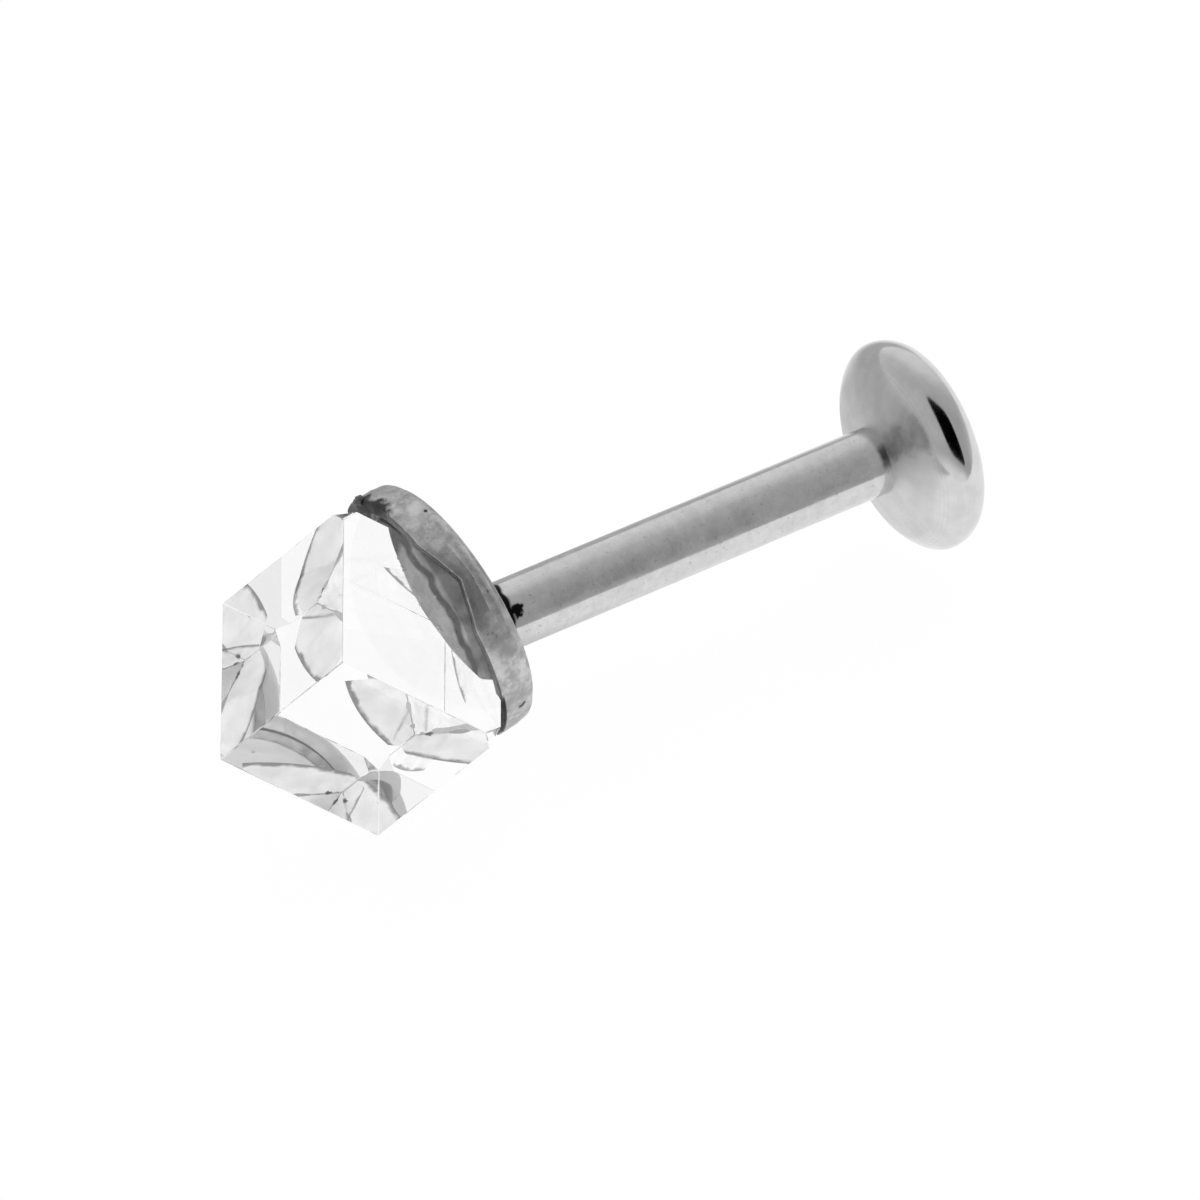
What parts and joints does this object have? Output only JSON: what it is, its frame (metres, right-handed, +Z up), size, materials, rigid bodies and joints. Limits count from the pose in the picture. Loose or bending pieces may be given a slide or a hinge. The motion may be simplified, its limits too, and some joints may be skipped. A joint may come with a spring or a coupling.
{
  "type": "labret stud",
  "caption": "Straight-bar labret stud with a domed back disc and a clear cube crystal set on its corner in a shallow cup.",
  "frame": {"origin": "under the middle of the stud as it lies unworn, on the surface it rests on", "axes": "+X along the bar from the crystal towards the disc, +Z up from the surface"},
  "size_m": [0.019, 0.007, 0.0066],
  "materials": {
    "disc_steel": "turned and polished",
    "bar_steel": "polished",
    "cup_steel": "tumbled",
    "crystal": "clear, polished",
    "adhesive": "clear grey with bubbles"
  },
  "bodies": {
    "root": {"back_disc": "disc_steel", "post": "bar_steel", "cup": "cup_steel", "cement": "adhesive", "stone": "crystal"}
  },
  "joints": []
}
